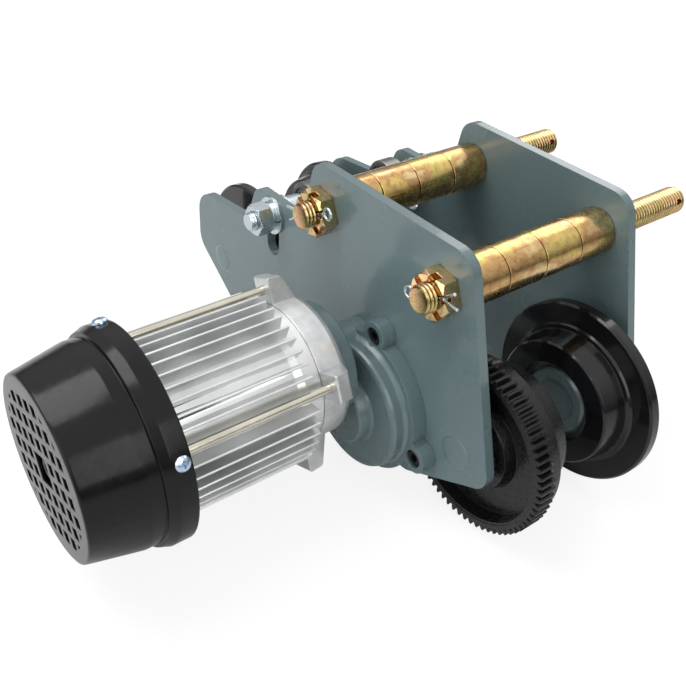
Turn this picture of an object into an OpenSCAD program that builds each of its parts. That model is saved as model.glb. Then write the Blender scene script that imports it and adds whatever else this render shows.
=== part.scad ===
// Motorised beam trolley, standing on its wheels as photographed.
// X runs along the beam, Y runs across it from the drive side to the idle side, and Z is up.

/* [Side plates] */
// thickness of both side plates
plate_t = 6; // [5:0.5:8]
// length of one spacer tube, four of which set the distance between the plates
spacer_len = 28; // [27.5:0.5:36]
// distance between the two axles along the beam
wheel_base = 245; // [240:1:252]
// how far the left edge of a plate lies outside its axle
plate_left = 31; // [28:0.5:34]
// how far the lower right corner of a plate lies outside its axle
plate_right = 26.5; // [24:0.5:28]
// height of the top edge of a plate above the axles
plate_top = 118.5; // [116:0.5:124]
// depth of the bottom edge of a plate below the axles
plate_drop = 42; // [38:0.5:42]
// height of the low shoulder at the left end of a plate
shoulder_rise = 41.5; // [39:0.5:44]
// how much the shoulder rises towards the roller lug
shoulder_slope = 7; // [4:0.5:9]
// height of the lug that carries the anti tilt roller
lug_rise = 76; // [75:0.5:80]
// radius of the large corners of a plate
corner_r = 15; // [12:0.5:17]

/* [Suspension bolts] */
// radius of a suspension bolt
bolt_r = 8; // [7.5:0.1:8.4]
// distance between the two suspension bolts
bolt_span = 102; // [98:1:104]
// distance of the right bolt inside the right axle
bolt_inset = 25.5; // [24:0.5:28]
// height of the bolts above the axles
bolt_rise = 91.5; // [89:0.5:94]
// length of bolt standing out of the drive side plate
bolt_near_out = 17; // [16:0.5:24]
// length of bolt standing out of the idle side plate
bolt_far_out = 69; // [50:0.5:80]
// chamfer at each end of a bolt
bolt_chamfer = 1.4; // [0.8:0.1:2]
// radial gap between a bolt and its hole in a plate
bolt_hole_gap = 0.5; // [0.3:0.1:0.8]
// outer radius of a spacer tube
spacer_r = 14; // [13:0.25:15]
// inner radius of a spacer tube
spacer_bore = 8.9; // [8.8:0.1:10]
// chamfer at the ends of a spacer tube
spacer_chamfer = 0.6; // [0.3:0.1:1]
// distance across the flats of a slotted nut
nut_flats = 25; // [24:0.5:26]
// height of a slotted nut
nut_h = 11; // [10.5:0.5:13]
// depth of the slots in a nut
nut_slot_depth = 5; // [4.5:0.5:5.5]
// width of the slots in a nut
nut_slot_w = 4.6; // [4.4:0.2:5]
// direction of the slots in the nuts and of the cotter pins
nut_angle = 22; // [0:2:50]
// radius of a cotter pin
cotter_r = 1.7; // [1.4:0.1:1.9]
// inner radius of the eye of a cotter pin
cotter_eye = 2.4; // [2:0.1:2.8]
// radius of the cotter holes through the bolts
cotter_hole_r = 2; // [2:0.1:2.1]
// distance of a far cotter hole from the end of its bolt
cotter_hole_in = 7; // [6:0.5:9]
// direction of the far cotter holes
cotter_hole_turn = 20; // [0:5:60]

/* [Wheels] */
// radius of the tread at its inner end
tread_r = 38.7; // [38:0.1:39.5]
// radius of the tread beside the flange
tread_root_r = 41.5; // [41:0.1:42]
// radius of the step ring between tread and flange
step_r = 44.4; // [44:0.1:44.8]
// radius of the flange of the large wheel on the idle side
far_flange_r = 57; // [54:0.5:58]
// radius of the flanges of the two left wheels
left_flange_r = 48; // [46:0.5:50]
// radius of the smooth flange behind the gear teeth
gear_flange_r = 49.6; // [48:0.1:49.8]
// distance of the inner wheel faces from the middle of the beam
wheel_in = 15.5; // [15:0.5:16.5]
// width of the tread
tread_w = 17; // [16.5:0.5:17.5]
// thickness of a wheel flange
flange_t = 8; // [7:0.5:8.5]
// radius of the seat for the wheel bearing
seat_r = 21; // [21:0.05:21.2]
// depth of the recess that holds the bearing cap
recess_depth = 7.5; // [7:0.5:8]
// radius of the recess that holds the bearing cap
recess_r = 25.4; // [24.6:0.1:26]
// radius of the raised dome of a bearing cap
cap_r = 21.2; // [20:0.1:22]
// radius of the dish in a bearing cap
dish_r = 14.5; // [13:0.25:16]
// width of a wheel bearing
bearing_w = 12; // [11:0.5:12]
// radius of an axle
axle_r = 10; // [9.5:0.1:10.4]
// radius of the collar between a plate and a wheel bearing
collar_r = 14.5; // [13:0.25:15]

/* [Drive gears] */
// tooth size of the wheel gear and its pinion
gear_m = 1.5; // [1.5]
// teeth on the wheel
wheel_teeth = 69; // [67:1:71]
// teeth on the drive pinion
pinion_teeth = 23; // [22:1:24]
// width of the teeth on the wheel
gear_w = 11; // [10:0.5:11.5]
// radius of the ring inside the teeth on the plate side
rim_r = 46; // [44:0.5:47]
// radius of the hub on the plate side
hub_r = 26; // [24:0.5:28]
// depth of the cast recess between rim and hub
web_depth = 8; // [6:0.5:9]
// tooth size of the first stage inside the gearbox
stage_m = 1; // [1]
// teeth on the gear inside the gearbox
stage_teeth = 54; // [53:1:55]
// teeth on the motor pinion
motor_teeth = 12; // [12:1:13]
// play between meshing teeth at the pitch circle
backlash = 0.16; // [0.12:0.02:0.24]
// height of the output shaft relative to the wheel axles
out_rise = -4; // [-6:0.5:-2]
// direction from the output shaft to the motor shaft
motor_angle = 120.5; // [116:0.5:124]
// radius of the output shaft
out_r = 8; // [7.5:0.1:8.2]
// outer radius of the bearing at the end of the output shaft
out_seat_r = 15; // [14:0.25:16]
// radius of the motor shaft in its bearings
motor_shaft_r = 6; // [5.6:0.1:6.2]
// outer radius of the motor bearings
motor_seat_r = 14; // [13:0.25:15]

/* [Gearbox housing] */
// radius of the round flange of the gearbox
box_r = 45; // [44:0.25:46]
// thickness of the gearbox flange
box_flange_t = 9.5; // [9:0.5:11]
// radius of the raised cover
cover_r = 40.4; // [40:0.2:41]
// height of the raised cover above the plate
cover_h = 20; // [19:0.5:21]
// radius of the hub on the cover
ring_r = 22; // [21:0.25:23]
// height of the hub above the plate
ring_h = 28.5; // [27:0.5:30]
// radius of the neck around the motor pinion
neck_r = 15; // [14:0.5:16]
// radius of the round flange that carries the motor
mount_r = 33.5; // [32:0.25:35]
// thickness of the flange that carries the motor
mount_t = 8; // [7:0.5:9]
// radius of a screw lug
lug_r = 9; // [8.5:0.25:9.5]
// radius of a gearbox screw head
cap_screw_r = 5; // [4.8:0.1:5.2]
// radius of the counterbore around a screw head
counterbore_r = 5.6; // [5.5:0.1:6]

/* [Motor] */
// height of the motor mounting face above the plate
motor_out = 36.5; // [36:0.5:39]
// radius of the drive end shield
shield_r = 41; // [40.5:0.25:42]
// length of the drive end shield
shield_len = 20; // [19:0.5:21]
// length of the finned body
body_len = 87; // [82:1:92]
// radius of the body between the fins
root_r = 40; // [39:0.25:40.2]
// height of the fins over the body
fin_h = 9.5; // [8:0.25:10]
// thickness of a fin
fin_w = 1.7; // [1.4:0.1:2.2]
// angle between neighbouring fins
fin_step = 8.45; // [7.6:0.05:8.6]
// number of fins between two tie rods
fin_count = 9; // [7:2:9]
// length of the smooth band at the drive end of the body
band_len = 9.5; // [7:0.5:12]
// how much further the roots of the fins are cut back than their tips
fin_slope = 4.5; // [2:0.5:6]
// bore of the body
body_bore = 34; // [33.5:0.25:35]
// distance from the rim of the drive shield to the circle of tie rods
rod_gap = 7; // [6.5:0.1:7.6]
// radius of a tie rod
rod_r = 2.5; // [2.2:0.1:2.7]
// direction of the first tie rod lug
lug_angle = 23; // [20:1:26]
// metal outside the tie rod circle in a lug of the drive shield
lug_wall = 7.5; // [6.5:0.25:8]
// how much further the lowest lug reaches than the others
foot_extra = 5; // [3:0.5:8]
// width of a tie rod lug
lug_w = 15; // [13:0.5:17]
// radius of the rotor core
rotor_r = 19; // [18:0.25:20]
// radial air gap around the rotor core
air_gap = 0.4; // [0.3:0.05:0.6]

/* [Fan cover] */
// metal outside the tie rod circle in a lug of the rear shield
rear_lug_wall = 8.2; // [7:0.2:9]
// gap between the rear lugs and the fan cover
cowl_gap = 1.4; // [1:0.1:2]
// how far the fan cover draws in before the step
cowl_draw = 2; // [1.5:0.1:2.6]
// depth of the step around the fan cover
cowl_step = 2; // [1.5:0.1:2.5]
// how far the fan cover draws in towards its shoulder
cowl_taper = 0.6; // [0.4:0.1:1.2]
// how far the nose draws in from the shoulder to the grille face
cowl_nose = 5.2; // [4:0.2:6]
// length of the fan cover
cowl_len = 51; // [49:0.5:54]
// wall of the fan cover
cowl_wall = 1.8; // [1.6:0.1:2]
// direction of the slot rows in the grille
grille_angle = 20; // [0:1:30]
// distance between neighbouring grille slots
slot_pitch = 10.1; // [9.8:0.1:10.2]
// length of a grille slot
slot_l = 6.4; // [5.6:0.1:7]
// width of a grille slot
slot_w = 5.8; // [5:0.1:6.8]
// radius of the round field of grille slots
grille_r = 41.5; // [40:0.25:43]
// radial gap between the fan and the nose of the fan cover
fan_clear = 3.8; // [2:0.2:6]
// radius of the nose of the fan
fan_nose_r = 6.6; // [6:0.1:6.8]
// number of fan blades
fan_blades = 8; // [6:1:10]

/* [Anti tilt rollers] */
// distance of the rollers from the middle of the trolley along the beam
roller_x = 57; // [55:0.5:59]
// height of the rollers above the axles
roller_rise = 64.5; // [63:0.5:66]
// how far a roller can be lowered in its slot
roller_travel = 22; // [16:0.5:22]
// radius of a roller
roller_r = 15; // [13:0.25:15.5]
// width of a roller
roller_w = 12; // [10:0.5:13]
// distance of a roller from the middle of the beam
roller_in = 26; // [25:0.5:28]
// radius of the threaded stud of a roller
stud_r = 6; // [5.6:0.1:6.2]
// radial gap between a stud and its slot
stud_gap = 0.5; // [0.3:0.1:0.8]
// radius of the sleeve between plate and roller
sleeve_r = 9; // [8:0.25:10]
// radius of the flat washer
washer_r = 12; // [11.5:0.25:12.5]
// distance across the flats of the stud nut
stud_nut_flats = 18; // [17:0.25:19]

/* [Hidden] */
$fn = 96;
thin = 0.02;
run = 0.05;
gap_half = 2 * spacer_len;
wb = wheel_base / 2;
plate_out = gap_half + plate_t;
bolt_xs = [wb - bolt_inset - bolt_span, wb - bolt_inset];
pinion_c = gear_m * (wheel_teeth + pinion_teeth) / 2;
stage_c = stage_m * (stage_teeth + motor_teeth) / 2;
out_x = wb - sqrt(pinion_c * pinion_c - out_rise * out_rise);
mot_x = out_x + stage_c * cos(motor_angle);
mot_z = out_rise + stage_c * sin(motor_angle);
mesh_angle = atan2(out_rise, out_x - wb);
flange_in = wheel_in + tread_w;
flange_back = flange_in + flange_t;
gear_in = flange_back + 0.5;
gear_out = gear_in + gear_w;
seat_in = wheel_in + recess_depth;
seat_out = seat_in + bearing_w;
nut_turn = nut_h - nut_slot_depth / 2;
motor_y = -plate_out - motor_out;
shield_y = motor_y - shield_len;
rear_y = shield_y - body_len;
cowl_y = rear_y + 1;
cowl_end = cowl_y - cowl_len;
cover_screw_y = rear_y - 4;
rear_t = 9;
fin_r = root_r + fin_h;
rod_pcd_r = shield_r + rod_gap;
lug_out = rod_pcd_r + lug_wall;
rear_lug_out = rod_pcd_r + rear_lug_wall;
cowl_r = rear_lug_out + cowl_gap + cowl_wall;
cowl_band_r = cowl_r - cowl_draw;
cowl_step_r = cowl_band_r - cowl_step;
cowl_shoulder_r = cowl_step_r - cowl_taper;
cowl_face_r = cowl_shoulder_r - cowl_nose;
fan_r = cowl_face_r - cowl_wall - fan_clear;
box_lugs = [
    [out_x + 47 * cos(85), out_rise + 47 * sin(85)],
    [out_x + 48.5 * cos(-15.5), out_rise + 48.5 * sin(-15.5)],
    [out_x + 48 * cos(196), out_rise + 48 * sin(196)]
];

function unit(v) = v / norm(v);
function wrap(a) = a > 180 ? a - 360 : (a < -180 ? a + 360 : a);

// points of one rounded corner of an outline
function corner_points(a, b, c, r, n) =
    let (d1 = unit(a - b))
    let (d2 = unit(c - b))
    let (half = acos(d1 * d2) / 2)
    let (mid = b + unit(d1 + d2) * r / sin(half))
    let (p = b + d1 * r / tan(half) - mid)
    let (q = b + d2 * r / tan(half) - mid)
    let (a0 = atan2(p[1], p[0]))
    let (turn = wrap(atan2(q[1], q[0]) - a0))
    [for (i = [0:n]) mid + r * [cos(a0 + turn * i / n), sin(a0 + turn * i / n)]];

// outline with every corner rounded by the third value of its entry
function rounded(v, n) = [
    for (i = [0:len(v) - 1])
        let (a = v[(i + len(v) - 1) % len(v)])
        let (b = v[i])
        let (c = v[(i + 1) % len(v)])
        for (p = corner_points([a[0], a[1]], [b[0], b[1]], [c[0], c[1]], b[2], n)) p
];

// involute point on a base circle, turned by an angle in degrees
function involute(rb, t) = rb * [cos(t) + t * PI / 180 * sin(t), sin(t) - t * PI / 180 * cos(t)];
function polar(r, a) = [r * cos(a), r * sin(a)];
function roll_angle(rb, r) = r <= rb ? 0 : sqrt(r * r / (rb * rb) - 1) * 180 / PI;
function flank_angle(rb, r) = roll_angle(rb, r) - atan(roll_angle(rb, r) * PI / 180);

// outline of a spur gear with involute flanks and the middle of a tooth at angle zero
function gear_points(z, m, add, n) =
    let (rp = m * z / 2)
    let (rb = rp * cos(20))
    let (ra = rp + add)
    let (rf = rp - 1.25 * m)
    let (r0 = max(rb, rf))
    let (half = 90 / z - backlash / 4 / rp * 180 / PI + flank_angle(rb, rp))
    [for (k = [0:z - 1])
        let (c = 360 * k / z)
        each concat(
            rf < rb ? [polar(rf, c - half)] : [],
            [for (i = [0:n]) let (r = r0 + (ra - r0) * i / n) polar(r, c - half + flank_angle(rb, r))],
            [for (i = [0:n]) let (r = ra - (ra - r0) * i / n) polar(r, c + half - flank_angle(rb, r))],
            rf < rb ? [polar(rf, c + half)] : []
        )];

// flat shape in the plane of a side plate, given thickness from y0 to y1
module flat_y(y0, y1) {
    translate([0, y1, 0])
        rotate([90, 0, 0])
            linear_extrude(height = y1 - y0)
                children();
}

// cylinder along Y
module rod_y(x, z, y0, y1, r) {
    translate([x, y0, z])
        rotate([-90, 0, 0])
            cylinder(h = y1 - y0, r = r);
}

// turned shape around an axis along Y, from points of radius and Y
module turned(x, z, pts) {
    translate([x, 0, z])
        rotate([-90, 0, 0])
            rotate_extrude()
                polygon(points = pts);
}

// chamfered rod along Y
module pin_y(x, z, y0, y1, r, c) {
    turned(x, z, [[0, y0], [r - c, y0], [r, y0 + c], [r, y1 - c], [r - c, y1], [0, y1]]);
}

// box along Y whose middle lies at an angle and a distance from an axis
module block_y(x, z, angle, from, to, w, y0, y1) {
    translate([x, 0, z])
        rotate([0, -angle, 0])
            translate([from, y0, -w / 2])
                cube([to - from, y1 - y0, w]);
}

plate_edge = rounded([
    [-wb - plate_left, shoulder_rise, corner_r + 3],
    [-roller_x - 31, shoulder_rise + shoulder_slope, 8],
    [-roller_x - 20, lug_rise, 10],
    [bolt_xs[0] - 19, lug_rise, 10],
    [bolt_xs[0] - 11, plate_top, 12],
    [bolt_xs[1] + 15.7, plate_top, corner_r],
    [wb + plate_right, -7.5, 12],
    [wb - 36.5, -plate_drop, corner_r],
    [-wb + 31.5, -plate_drop, corner_r],
    [-wb - plate_left - 0.5, 0.5, corner_r]
], 10);

module slot_cut(y0, y1) {
    w = stud_r + stud_gap;
    rod_y(-roller_x, roller_rise, y0, y1, w);
    rod_y(-roller_x, roller_rise - roller_travel, y0, y1, w);
    translate([-roller_x - w, y0, roller_rise - roller_travel])
        cube([2 * w, y1 - y0, roller_travel]);
}

module plate_blank(y0, y1) {
    difference() {
        flat_y(y0, y1)
            polygon(points = plate_edge);
        for (x = bolt_xs)
            rod_y(x, bolt_rise, y0 - 1, y1 + 1, bolt_r + bolt_hole_gap);
        for (x = [-wb, wb])
            rod_y(x, 0, y0 - 1, y1 + 1, axle_r + thin);
        slot_cut(y0 - 1, y1 + 1);
    }
}

module plate_drive() {
    color([0.42, 0.49, 0.51])
        difference() {
            plate_blank(-plate_out, -gap_half);
            rod_y(out_x, out_rise, -plate_out - 1, -gap_half + 1, out_r + 4 + thin);
            for (p = box_lugs)
                rod_y(p[0], p[1], -plate_out - 1, -gap_half + 1, 3 + thin);
        }
}

module plate_idle() {
    color([0.42, 0.49, 0.51])
        plate_blank(gap_half, plate_out);
}

module suspension_bolt(x) {
    difference() {
        pin_y(x, bolt_rise, -plate_out - bolt_near_out, plate_out + bolt_far_out, bolt_r, bolt_chamfer);
        translate([x, -plate_out - nut_turn, bolt_rise])
            rotate([0, 90 - nut_angle, 0])
                cylinder(h = 4 * bolt_r, r = cotter_hole_r, center = true);
        translate([x, plate_out + bolt_far_out - cotter_hole_in, bolt_rise])
            rotate([0, 90 - cotter_hole_turn, 0])
                cylinder(h = 4 * bolt_r, r = cotter_hole_r, center = true);
    }
}

module suspension_bolt_left() {
    color([0.78, 0.68, 0.40])
        suspension_bolt(bolt_xs[0]);
}

module suspension_bolt_right() {
    color([0.78, 0.68, 0.40])
        suspension_bolt(bolt_xs[1]);
}

// one spacer tube of a row, counted from the drive side
module spacer_tube(x, k) {
    y0 = -gap_half + k * spacer_len;
    y1 = y0 + spacer_len;
    c = spacer_chamfer;
    color([0.80, 0.68, 0.42])
        turned(x, bolt_rise, [[spacer_bore, y0], [spacer_r - c, y0], [spacer_r, y0 + c],
            [spacer_r, y1 - c], [spacer_r - c, y1], [spacer_bore, y1]]);
}

module spacer_left_a() {
    spacer_tube(bolt_xs[0], 0);
}

module spacer_left_b() {
    spacer_tube(bolt_xs[0], 1);
}

module spacer_left_c() {
    spacer_tube(bolt_xs[0], 2);
}

module spacer_left_d() {
    spacer_tube(bolt_xs[0], 3);
}

module spacer_right_a() {
    spacer_tube(bolt_xs[1], 0);
}

module spacer_right_b() {
    spacer_tube(bolt_xs[1], 1);
}

module spacer_right_c() {
    spacer_tube(bolt_xs[1], 2);
}

module spacer_right_d() {
    spacer_tube(bolt_xs[1], 3);
}

// slotted hexagon nut with its base at y0, growing in direction dir
module slotted_nut(x, y0, dir) {
    rc = nut_flats / sqrt(3);
    rf = nut_flats / 2;
    color([0.74, 0.60, 0.34])
        difference() {
            intersection() {
                translate([x, y0, bolt_rise])
                    rotate([0, -nut_angle, 0])
                        rotate([-90 * dir, 0, 0])
                            rotate([0, 0, 30])
                                cylinder(h = nut_h, r = rc, $fn = 6);
                turned(x, bolt_rise, [[0, y0], [rf + 0.4, y0], [rc + 0.2, y0 + 1.2 * dir],
                    [rc + 0.2, y0 + (nut_h - 2.2) * dir], [rf - 0.3, y0 + nut_h * dir],
                    [0, y0 + nut_h * dir]]);
            }
            translate([x, 0, bolt_rise])
                rotate([-90, 0, 0])
                    translate([0, 0, y0 - nut_h - 1])
                        cylinder(h = 2 * nut_h + 2, r = bolt_r + thin);
            for (a = [0, 60, 120])
                translate([x, y0 + (nut_h - nut_slot_depth / 2 + 1) * dir, bolt_rise])
                    rotate([0, a - nut_angle, 0])
                        cube([2 * nut_flats, nut_slot_depth + 2, nut_slot_w], center = true);
        }
}

module nut_left_near() {
    slotted_nut(bolt_xs[0], -plate_out, -1);
}

module nut_right_near() {
    slotted_nut(bolt_xs[1], -plate_out, -1);
}

module nut_left_far() {
    slotted_nut(bolt_xs[0], plate_out, 1);
}

module nut_right_far() {
    slotted_nut(bolt_xs[1], plate_out, 1);
}

// cotter pin across a bolt, with its eye on the left and two spread legs on the right
module cotter(x, turn) {
    near = nut_flats / 2 - 1.4;
    eye = nut_flats / 2 + cotter_eye + 1.5;
    color([0.80, 0.82, 0.84])
        translate([x, -plate_out - nut_turn, bolt_rise])
            rotate([0, turn - nut_angle, 0]) {
                translate([-eye + cotter_eye + 0.6, 0, 0])
                    rotate([0, 90, 0])
                        cylinder(h = eye - cotter_eye - 0.6 + near, r = cotter_r);
                translate([-eye, 0, 0])
                    rotate([90, 0, 0])
                        rotate_extrude()
                            translate([cotter_eye + 0.8, 0])
                                circle(r = 0.9);
                for (s = [-1, 1])
                    translate([near - 1.2, -0.4, s * 0.5])
                        rotate([0, 90 - s * 17, 0])
                            rotate([9, 0, 0])
                                cylinder(h = 12, r = 0.85);
            }
}

module cotter_left() {
    cotter(bolt_xs[0], 180);
}

module cotter_right() {
    cotter(bolt_xs[1], 0);
}

// axle riveted into a plate, with a collar that holds the bearing away from the plate
module axle(x, side) {
    color([0.62, 0.64, 0.65])
        turned(x, 0, [
            for (p = [[0, seat_in - 1], [axle_r - 1, seat_in - 1], [axle_r, seat_in],
                [axle_r, seat_out + 0.1], [collar_r, seat_out + 0.1], [collar_r, gap_half],
                [axle_r, gap_half], [axle_r, plate_out], [0, plate_out]])
                [p[0], side * p[1]]
        ]);
}

module axle_geared() {
    axle(wb, -1);
}

module axle_near() {
    axle(-wb, -1);
}

module axle_far_right() {
    axle(wb, 1);
}

module axle_far_left() {
    axle(-wb, 1);
}

// plain wheel, turned and bored, on the given side of the beam
module plain_wheel(x, side, fr) {
    turned(x, 0, [
        for (p = [[recess_r, wheel_in], [tread_r - 1, wheel_in], [tread_r, wheel_in + 1],
            [tread_root_r, flange_in - 2.2], [step_r - 0.8, flange_in - 1.4], [step_r, flange_in],
            [fr - 1.2, flange_in], [fr, flange_in + 1.2], [fr, flange_back - 1.2], [fr - 1.2, flange_back],
            [collar_r + 3.5, flange_back], [collar_r + 3.5, seat_out], [seat_r, seat_out],
            [seat_r, seat_in], [recess_r, seat_in]])
            [p[0], side * p[1]]
    ]);
}

module wheel_near() {
    color([0.07, 0.07, 0.07])
        plain_wheel(-wb, -1, left_flange_r);
}

module wheel_far_right() {
    color([0.07, 0.07, 0.07])
        plain_wheel(wb, 1, far_flange_r);
}

module wheel_far_left() {
    color([0.07, 0.07, 0.07])
        plain_wheel(-wb, 1, left_flange_r);
}

// wheel with spur teeth cut on the plate side of its flange
module wheel_geared() {
    color([0.08, 0.08, 0.08]) {
        turned(wb, 0, [
            for (p = [[recess_r, wheel_in], [tread_r - 1, wheel_in], [tread_r, wheel_in + 1],
                [tread_root_r, flange_in - 2.2], [step_r - 0.8, flange_in - 1.4], [step_r, flange_in],
                [gear_flange_r - 1, flange_in], [gear_flange_r, flange_in + 1],
                [gear_flange_r, gear_in + 0.5], [rim_r + 2.5, gear_in + 0.5],
                [rim_r + 2.5, gear_out - 0.3], [rim_r, gear_out - 0.3],
                [rim_r - 1.5, gear_out - web_depth], [hub_r + 2.5, gear_out - web_depth],
                [hub_r, gear_out - 1.5], [collar_r + 3.5, gear_out - 1.5], [collar_r + 3.5, seat_out],
                [seat_r, seat_out], [seat_r, seat_in], [recess_r, seat_in]])
                [p[0], -p[1]]
        ]);
        translate([wb, 0, 0])
            rotate([0, -mesh_angle, 0])
                flat_y(-gear_out, -gear_in)
                    difference() {
                        polygon(points = gear_points(wheel_teeth, gear_m, gear_m, 4));
                        circle(r = rim_r + 1.5);
                    }
    }
}

// ball bearing with recessed shields on both faces
module ball_bearing(x, z, y0, y1, bore, outer) {
    a = bore + 0.28 * (outer - bore);
    b = bore + 0.74 * (outer - bore);
    color([0.72, 0.73, 0.74])
        turned(x, z, [[bore, y0], [a, y0], [a, y0 + 0.6], [b, y0 + 0.6], [b, y0], [outer, y0],
            [outer, y1], [b, y1], [b, y1 - 0.6], [a, y1 - 0.6], [a, y1], [bore, y1]]);
}

module bearing_geared() {
    ball_bearing(wb, 0, -seat_out, -seat_in, axle_r + run, seat_r - thin);
}

module bearing_near() {
    ball_bearing(-wb, 0, -seat_out, -seat_in, axle_r + run, seat_r - thin);
}

module bearing_far_right() {
    ball_bearing(wb, 0, seat_in, seat_out, axle_r + run, seat_r - thin);
}

module bearing_far_left() {
    ball_bearing(-wb, 0, seat_in, seat_out, axle_r + run, seat_r - thin);
}

// pressed cap with a rim, a raised dome and a dished middle
module bearing_cap(x, side) {
    e = seat_in;
    color([0.50, 0.54, 0.55])
        turned(x, 0, [
            for (p = [[0, e - 3.4], [dish_r - 1, e - 3.4], [dish_r, e - 5], [cap_r - 1.6, e - 5],
                [cap_r, e - 3.6], [cap_r, e - 1.4], [recess_r - thin, e - 1.4], [recess_r - thin, e],
                [cap_r - 1.2, e], [cap_r - 1.2, e - 3.2], [cap_r - 2.2, e - 3.8], [dish_r + 0.6, e - 3.8],
                [dish_r - 0.4, e - 2.2], [0, e - 2.2]])
                [p[0], side * p[1]]
        ]);
}

module cap_geared() {
    bearing_cap(wb, -1);
}

module cap_near() {
    bearing_cap(-wb, -1);
}

module cap_far_right() {
    bearing_cap(wb, 1);
}

module cap_far_left() {
    bearing_cap(-wb, 1);
}

// link between two round parts of the housing outline
module link(a, b, w) {
    d = b - a;
    n = [-d[1], d[0]] / norm(d) * w / 2;
    polygon(points = [a + n, b + n, b - n, a - n]);
}

module gearbox_housing() {
    p0 = -plate_out;
    o = [out_x, out_rise];
    color([0.40, 0.48, 0.49])
        difference() {
            union() {
                rod_y(out_x, out_rise, p0 - box_flange_t, p0, box_r);
                for (p = box_lugs) {
                    rod_y(p[0], p[1], p0 - box_flange_t, p0, lug_r);
                    flat_y(p0 - box_flange_t, p0)
                        link(o, p, 1.9 * lug_r);
                }
                turned(out_x, out_rise, [[0, p0 - 1], [cover_r + 1.5, p0 - 1],
                    [cover_r + 1.5, p0 - box_flange_t - 1], [cover_r, p0 - box_flange_t - 3],
                    [cover_r, p0 - cover_h + 2.5], [cover_r - 0.7, p0 - cover_h + 0.8],
                    [cover_r - 2.5, p0 - cover_h], [ring_r + 1.2, p0 - cover_h],
                    [ring_r, p0 - cover_h - 1.2], [ring_r - 1, p0 - ring_h + 1],
                    [ring_r - 2, p0 - ring_h], [0, p0 - ring_h]]);
                rod_y(mot_x, mot_z, p0 - motor_out + 1, p0, neck_r);
                turned(mot_x, mot_z, [[0, motor_y + mount_t], [mount_r - 0.6, motor_y + mount_t],
                    [mount_r, motor_y + mount_t - 0.6], [mount_r, motor_y], [0, motor_y]]);
            }
            rod_y(out_x, out_rise, p0 - 15.5, p0 + 1, 33);
            rod_y(out_x, out_rise, p0 - 25.5, p0 - 15, out_seat_r + thin);
            rod_y(mot_x, mot_z, p0 - 17, p0 + 1, 8.6);
            rod_y(mot_x, mot_z, p0 - motor_out - 1, p0 - 16.5, 8);
            for (p = box_lugs) {
                rod_y(p[0], p[1], p0 - cover_h - 5, p0 - box_flange_t + 7, counterbore_r);
                rod_y(p[0], p[1], p0 - box_flange_t - 1, p0 + 1, 3.2);
            }
        }
}

// socket head screws that hold the housing on the plate
module gearbox_screws() {
    p0 = -plate_out;
    seat = p0 - box_flange_t + 7;
    color([0.10, 0.10, 0.11])
        for (p = box_lugs) {
            difference() {
                union() {
                    turned(p[0], p[1], [[0, seat], [cap_screw_r, seat], [cap_screw_r, seat - 5.4],
                        [cap_screw_r - 0.6, seat - 6], [0, seat - 6]]);
                    rod_y(p[0], p[1], seat - 0.5, -gap_half, 3);
                }
                translate([p[0], seat - 7, p[1]])
                    rotate([-90, 0, 0])
                        cylinder(h = 4.5, r = 2.9, $fn = 6);
            }
        }
}

// flanged bush in the drive plate and ball bearing in the housing
module output_bearings() {
    p0 = -plate_out;
    color([0.70, 0.58, 0.34])
        turned(out_x, out_rise, [[out_r + run, p0 - 1], [out_r + 4, p0 - 1], [out_r + 4, -gap_half],
            [out_r + 6, -gap_half], [out_r + 6, -gap_half + 2], [out_r + run, -gap_half + 2]]);
    ball_bearing(out_x, out_rise, p0 - 25, p0 - 16, out_r - 1 + run, out_seat_r);
}

// shaft with the drive pinion cut on its inner end
module output_shaft() {
    p0 = -plate_out;
    color([0.45, 0.46, 0.47]) {
        turned(out_x, out_rise, [[0, -gear_in + 2.2], [out_r - 1.6, -gear_in + 2.2],
            [out_r - 0.6, -gear_in + 1.2], [out_r - 0.6, -gear_in - 1], [out_r, -gear_in - 1],
            [out_r, p0 - 15.5], [out_r - 1, p0 - 15.5], [out_r - 1, p0 - 24.4],
            [out_r - 1.6, p0 - 25], [0, p0 - 25]]);
        translate([out_x, 0, out_rise])
            rotate([0, -mesh_angle - 180 - 180 / pinion_teeth, 0])
                flat_y(-gear_out + 0.2, -gear_in - 0.3)
                    difference() {
                        polygon(points = gear_points(pinion_teeth, gear_m, gear_m, 4));
                        circle(r = out_r - 1);
                    }
    }
}

// gear of the first stage with a thinned web, on the output shaft
module reduction_gear() {
    p0 = -plate_out;
    color([0.50, 0.51, 0.52])
        difference() {
            translate([out_x, 0, out_rise])
                rotate([0, -motor_angle, 0])
                    flat_y(p0 - 13.5, p0 - 4)
                        difference() {
                            polygon(points = gear_points(stage_teeth, stage_m, 0.7 * stage_m, 3));
                            circle(r = out_r + thin);
                        }
            turned(out_x, out_rise, [[13, p0 - 14], [22, p0 - 14], [22, p0 - 11], [13, p0 - 11]]);
            turned(out_x, out_rise, [[13, p0 - 6.5], [22, p0 - 6.5], [22, p0 - 3], [13, p0 - 3]]);
        }
}

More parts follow.
